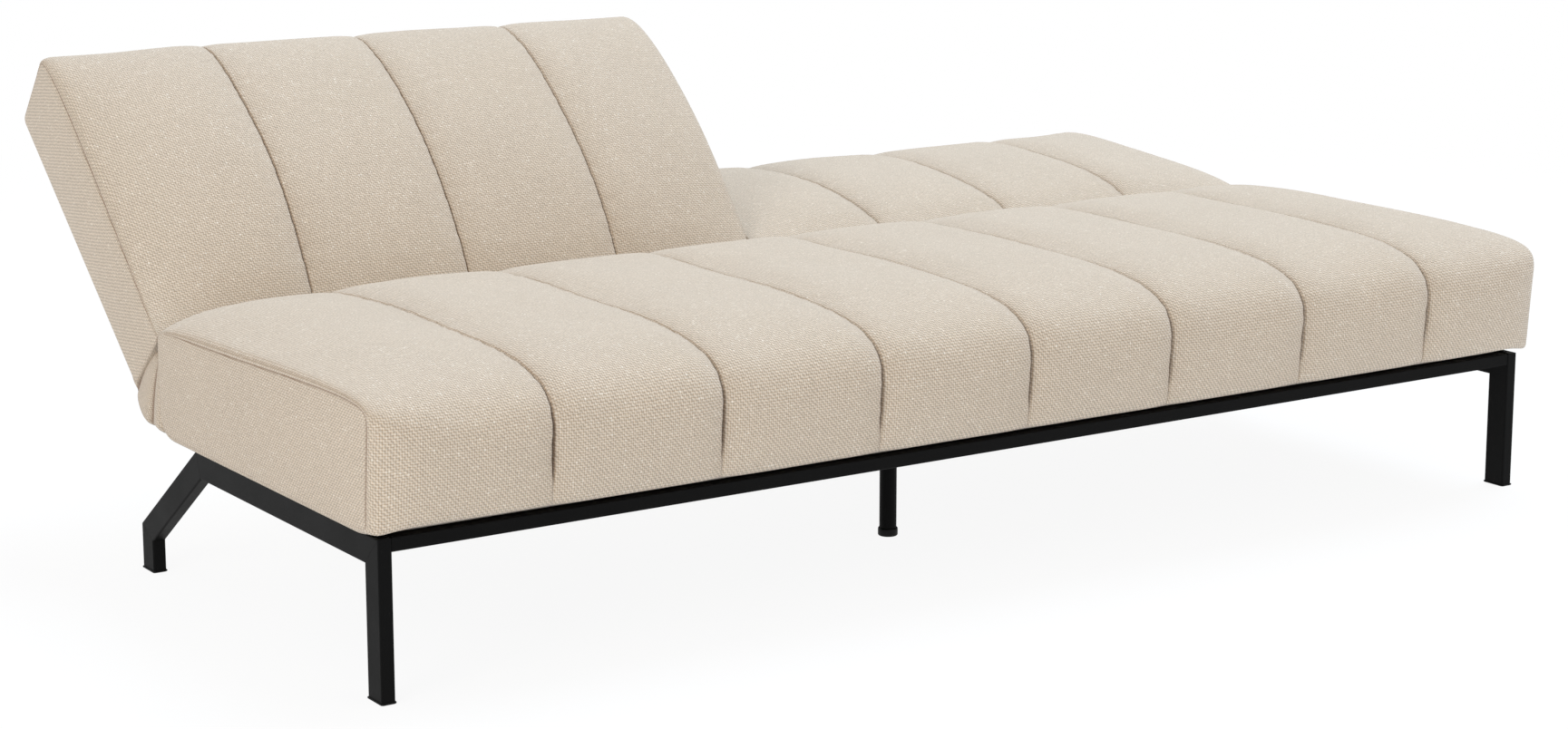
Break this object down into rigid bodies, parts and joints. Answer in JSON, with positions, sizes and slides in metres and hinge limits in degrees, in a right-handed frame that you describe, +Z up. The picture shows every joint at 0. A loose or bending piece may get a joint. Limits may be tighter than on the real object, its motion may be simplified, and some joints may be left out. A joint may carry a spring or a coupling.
{
  "type": "click clack sofa bed",
  "caption": "Sofa bed with one long channelled seat on a low black tube frame and a split back whose halves click upright, reclined or flat.",
  "frame": {"origin": "on the floor under the middle of the overall box, with the left back reclined and the right back flat", "axes": "+X along the sofa to its right-hand end seen from the front, the front faces -Y, +Z up"},
  "size_m": [1.98, 1.192, 0.6933],
  "materials": {
    "beige_fabric": "coarse basket weave upholstery in warm light beige with pale flecks",
    "black_steel": "matte black powder coat",
    "black_plastic": "moulded matte black",
    "black_cloth": "thin non-woven dust cloth",
    "pine": "planed, unfinished",
    "plywood": "sanded, unfinished",
    "zinc_steel": "zinc plated pressed steel"
  },
  "bodies": {
    "base": {"front_rail": "black_steel", "rear_rail": "black_steel", "middle_beam": "black_steel", "middle_leg": "black_steel", "middle_foot_cap": "black_plastic", "left_front_leg": "black_steel", "left_side_rail": "black_steel", "left_rear_strut": "black_steel", "left_rear_foot": "black_steel", "left_front_foot_cap": "black_plastic", "left_rear_foot_cap": "black_plastic", "right_front_leg": "black_steel", "right_side_rail": "black_steel", "right_rear_strut": "black_steel", "right_rear_foot": "black_steel", "right_front_foot_cap": "black_plastic", "right_rear_foot_cap": "black_plastic", "seat_cushion": "beige_fabric", "seat_left_board": "pine", "seat_right_board": "pine", "seat_front_board": "pine", "seat_rear_board": "pine", "seat_centre_board": "pine", "seat_deck": "plywood", "seat_dust_cloth": "black_cloth", "left_outer_hinge_plate": "zinc_steel", "left_outer_hinge_bolt": "zinc_steel", "left_outer_hinge_catch": "zinc_steel", "left_inner_hinge_plate": "zinc_steel", "left_inner_hinge_bolt": "zinc_steel", "left_inner_hinge_catch": "zinc_steel", "right_outer_hinge_plate": "zinc_steel", "right_outer_hinge_bolt": "zinc_steel", "right_outer_hinge_catch": "zinc_steel", "right_inner_hinge_plate": "zinc_steel", "right_inner_hinge_bolt": "zinc_steel", "right_inner_hinge_catch": "zinc_steel", "left_gusset": "beige_fabric", "right_gusset": "beige_fabric"},
    "left_back": {"left_back_cushion": "beige_fabric", "left_back_outer_board": "pine", "left_back_inner_board": "pine", "left_back_near_board": "pine", "left_back_far_board": "pine", "left_back_deck": "plywood", "left_back_rear_cover": "beige_fabric", "left_outer_hinge_arm": "zinc_steel", "left_inner_hinge_arm": "zinc_steel"},
    "right_back": {"right_back_cushion": "beige_fabric", "right_back_outer_board": "pine", "right_back_inner_board": "pine", "right_back_near_board": "pine", "right_back_far_board": "pine", "right_back_deck": "plywood", "right_back_rear_cover": "beige_fabric", "right_outer_hinge_arm": "zinc_steel", "right_inner_hinge_arm": "zinc_steel"}
  },
  "joints": [
    {"name": "left_back_hinge", "type": "hinge", "parent": "base", "child": "left_back", "pos_m": [0, 0.08798, 0.35], "axis": [1, 0, 0], "range_deg": [-38, 40], "deforming": ["left_gusset", "left_outer_hinge_catch", "left_inner_hinge_catch"]},
    {"name": "right_back_hinge", "type": "hinge", "parent": "base", "child": "right_back", "pos_m": [0, 0.08798, 0.35], "axis": [1, 0, 0], "range_deg": [0, 78], "deforming": ["right_gusset", "right_outer_hinge_catch", "right_inner_hinge_catch"]}
  ]
}
